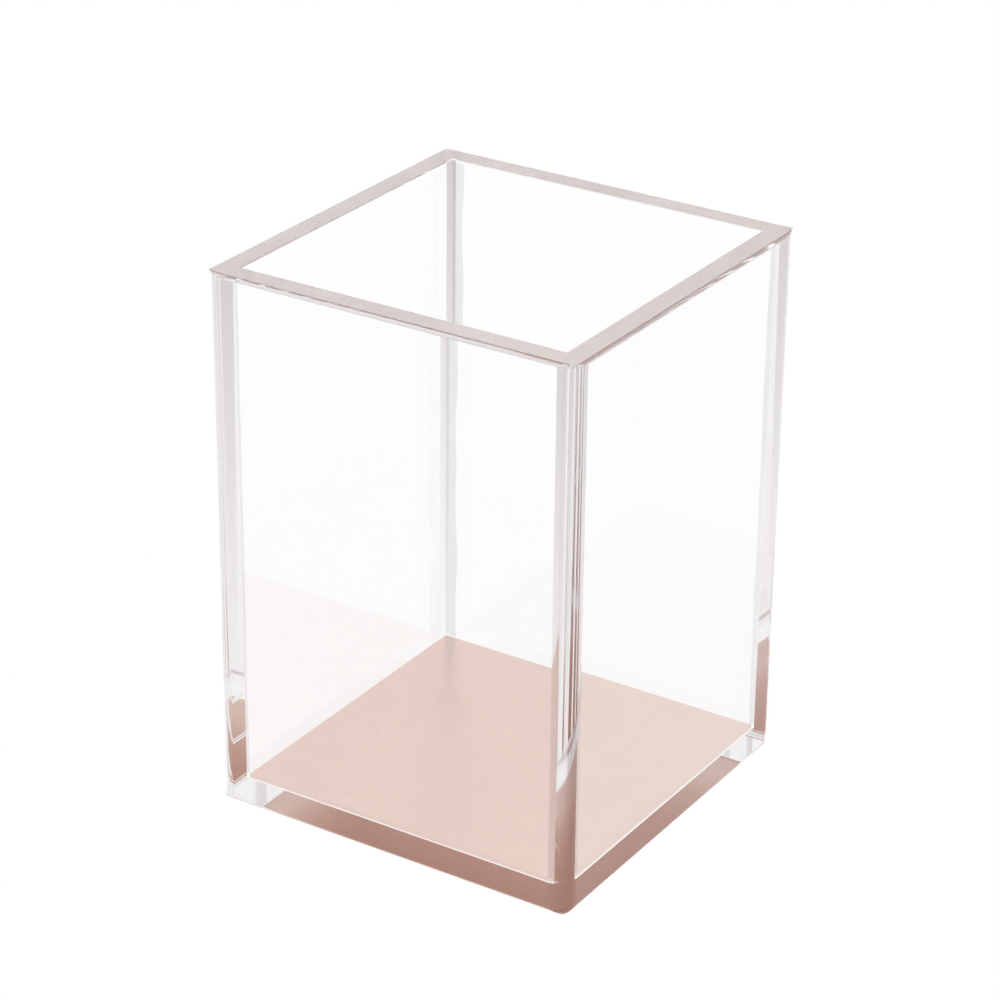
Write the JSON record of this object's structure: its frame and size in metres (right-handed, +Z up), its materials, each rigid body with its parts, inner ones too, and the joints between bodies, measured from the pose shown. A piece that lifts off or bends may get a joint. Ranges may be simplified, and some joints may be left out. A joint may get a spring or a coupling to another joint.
{
  "type": "makeup storage pot",
  "caption": "Clear square open-top pot for makeup brushes, with thick soft-edged walls on a clear base plate and a thin blush metallic floor panel.",
  "frame": {"origin": "centre of the footprint, on the underside of the base plate", "axes": "+Z up through the open mouth; front wall towards -Y, right wall towards +X"},
  "size_m": [0.08, 0.08, 0.111],
  "materials": {
    "clear_acrylic": "clear, polished on the faces and soft on the edges",
    "blush_panel": "satin rose-gold metallic"
  },
  "bodies": {
    "root": {"front_wall": "clear_acrylic", "right_wall": "clear_acrylic", "back_wall": "clear_acrylic", "left_wall": "clear_acrylic", "base_plate": "clear_acrylic", "blush_floor_panel": "blush_panel"}
  },
  "joints": []
}
